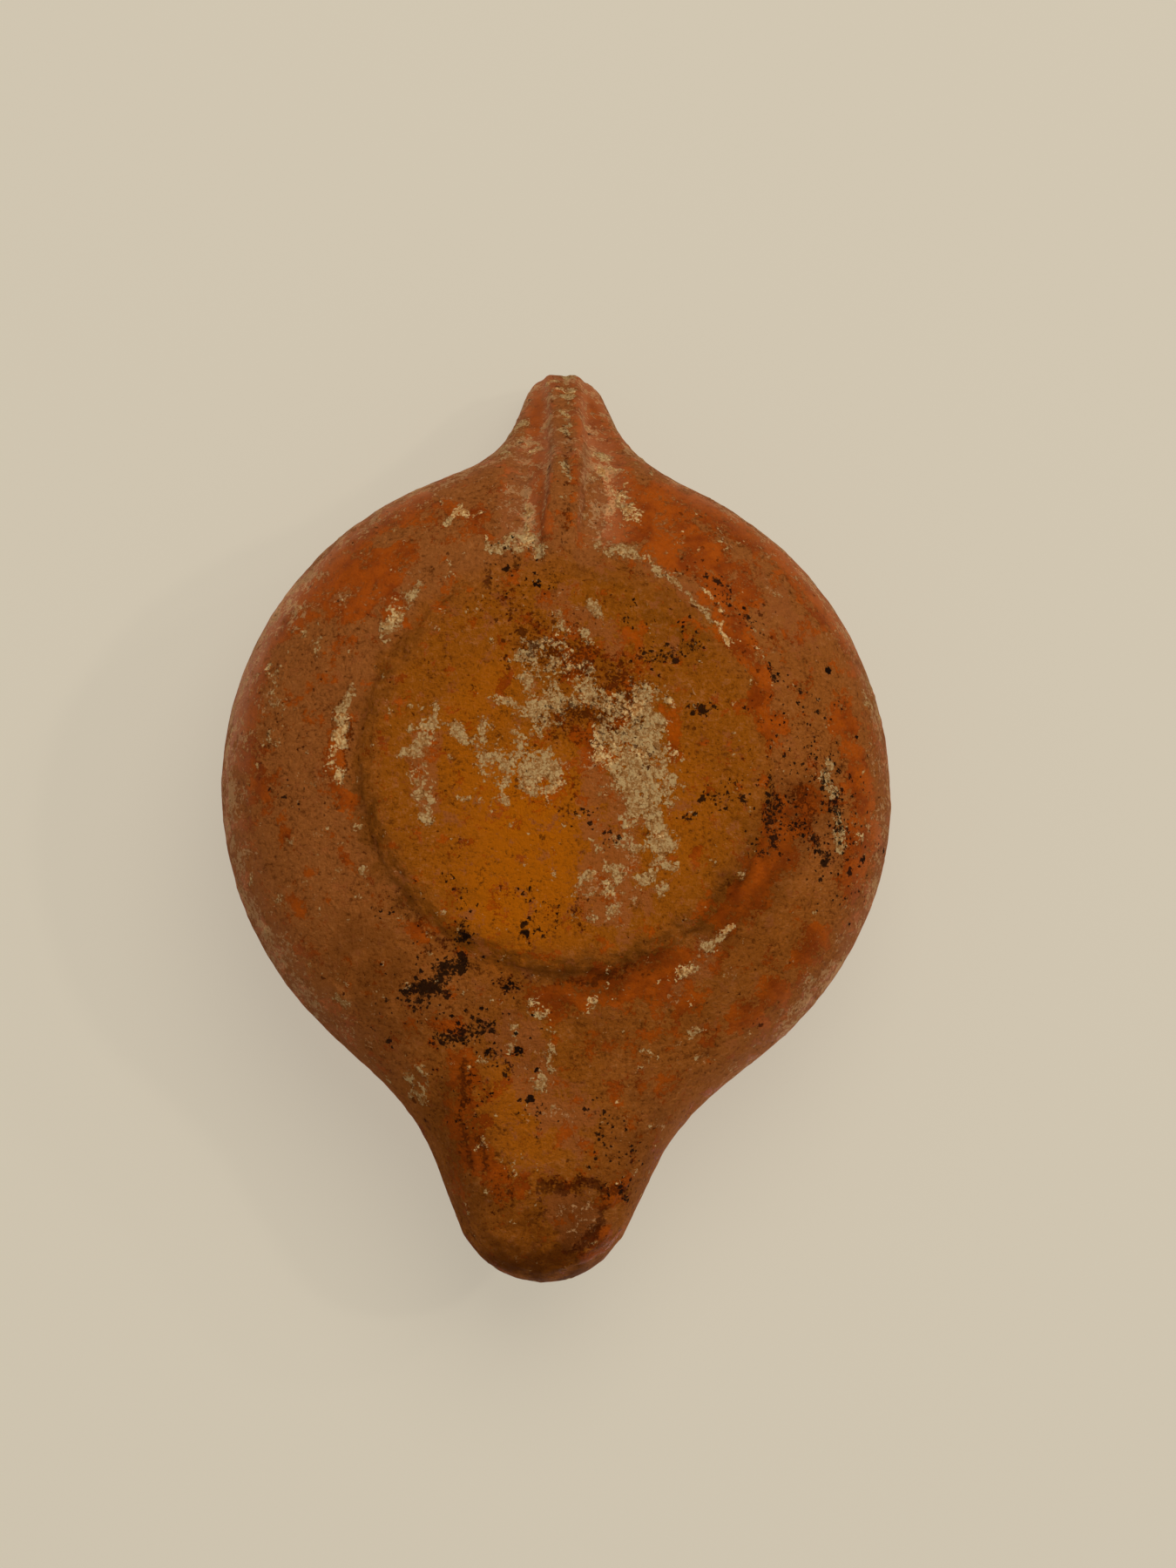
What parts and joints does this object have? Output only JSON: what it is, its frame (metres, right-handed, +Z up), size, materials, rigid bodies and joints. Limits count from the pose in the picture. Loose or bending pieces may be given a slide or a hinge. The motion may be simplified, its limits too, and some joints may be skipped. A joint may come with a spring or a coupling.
{
  "type": "oil lamp",
  "caption": "Mould-made clay oil lamp: round hollow body on a ring foot, tapered nozzle with a wick hole, sunk discus with an oil hole, and a ridged lug handle.",
  "frame": {"origin": "on the plane that the ring foot stands on, midway between the nozzle's end and the handle's end", "axes": "+Z up through the top of the lamp, -Y along the nozzle, +Y along the handle, +X to the right of a person who looks along +Y"},
  "size_m": [0.082, 0.116, 0.0375],
  "materials": {
    "red_slip_clay": "worn orange-red slip over matt orange clay, with cream lime crust, black specks and soot at the wick hole"
  },
  "bodies": {
    "root": {"oil_lamp": "red_slip_clay"}
  },
  "joints": []
}
